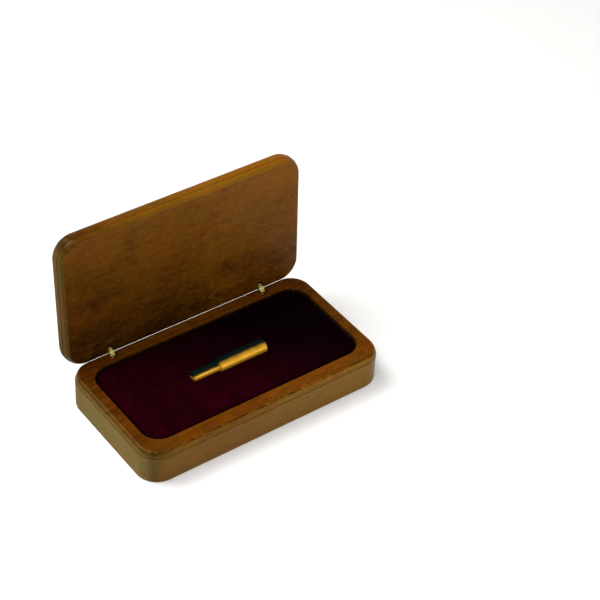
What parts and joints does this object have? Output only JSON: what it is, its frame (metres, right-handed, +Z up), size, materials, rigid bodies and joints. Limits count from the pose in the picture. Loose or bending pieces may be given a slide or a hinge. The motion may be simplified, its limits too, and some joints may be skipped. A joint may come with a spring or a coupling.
{
  "type": "hinged presentation case",
  "caption": "Small hinged hardwood presentation case, open, with a burgundy velvet pad that holds a stepped brass keepsake in a lined groove.",
  "frame": {"origin": "centre of the underside of the base, on the surface that the case stands on", "axes": "+X along the case, +Y towards the hinge side, +Z up; the lid is open at rest"},
  "size_m": [0.15, 0.0942, 0.099],
  "materials": {
    "base_wood": "satin oiled hardwood, long grain along the case",
    "lid_wood": "satin oiled hardwood with curly figure",
    "board": "raw grey board",
    "foam": "open foam",
    "velvet": "burgundy velvet",
    "keepsake_brass": "polished",
    "hinge_brass": "bright turned"
  },
  "bodies": {
    "base": {"base_tray": "base_wood", "spring_foam": "foam", "left_base_barrel": "hinge_brass", "left_base_pin": "hinge_brass", "right_base_barrel": "hinge_brass", "right_base_pin": "hinge_brass"},
    "lid": {"lid_panel": "lid_wood", "left_lid_barrel": "hinge_brass", "left_lid_pin": "hinge_brass", "right_lid_barrel": "hinge_brass", "right_lid_pin": "hinge_brass"},
    "pad": {"pad_board": "board", "pad_foam": "foam", "velvet_cover": "velvet", "groove_lining": "velvet"},
    "keepsake": {"brass_keepsake": "keepsake_brass"},
    "left_base_links": {"left_base_leaves": "hinge_brass", "left_joint_pin": "hinge_brass"},
    "left_lid_links": {"left_lid_leaves": "hinge_brass"},
    "right_base_links": {"right_base_leaves": "hinge_brass", "right_joint_pin": "hinge_brass"},
    "right_lid_links": {"right_lid_leaves": "hinge_brass"}
  },
  "joints": [
    {"name": "lid_hinge", "type": "hinge", "parent": "base", "child": "lid", "pos_m": [0, 0.0387, 0.0201], "axis": [-1, 0, 0], "range_deg": [-93, 0]},
    {"name": "pad_press", "type": "slide", "parent": "base", "child": "pad", "axis": [0, 0, 1], "range_m": [-0.0035, 0], "deforming": ["spring_foam"]},
    {"name": "keepsake_lift", "type": "slide", "parent": "pad", "child": "keepsake", "axis": [0, 0, 1], "range_m": [0, 0.045]},
    {"name": "left_base_link_turn", "type": "hinge", "parent": "base", "child": "left_base_links", "pos_m": [-0.0485, 0.0372, 0.0189], "axis": [-1, 0, 0], "range_deg": [-93, 0]},
    {"name": "left_lid_link_turn", "type": "hinge", "parent": "lid", "child": "left_lid_links", "pos_m": [-0.0485, 0.03998, 0.02154], "axis": [-1, 0, 0], "range_deg": [0, 93]},
    {"name": "right_base_link_turn", "type": "hinge", "parent": "base", "child": "right_base_links", "pos_m": [0.0485, 0.0372, 0.0189], "axis": [-1, 0, 0], "range_deg": [-93, 0]},
    {"name": "right_lid_link_turn", "type": "hinge", "parent": "lid", "child": "right_lid_links", "pos_m": [0.0485, 0.03998, 0.02154], "axis": [-1, 0, 0], "range_deg": [0, 93]}
  ],
  "couplings": [
    {"joint": "pad_press", "follows": "lid_hinge", "m_per_rad": 0.0021255},
    {"joint": "left_base_link_turn", "follows": "lid_hinge", "ratio": 1},
    {"joint": "left_lid_link_turn", "follows": "lid_hinge", "ratio": -1},
    {"joint": "right_base_link_turn", "follows": "lid_hinge", "ratio": 1},
    {"joint": "right_lid_link_turn", "follows": "lid_hinge", "ratio": -1}
  ]
}
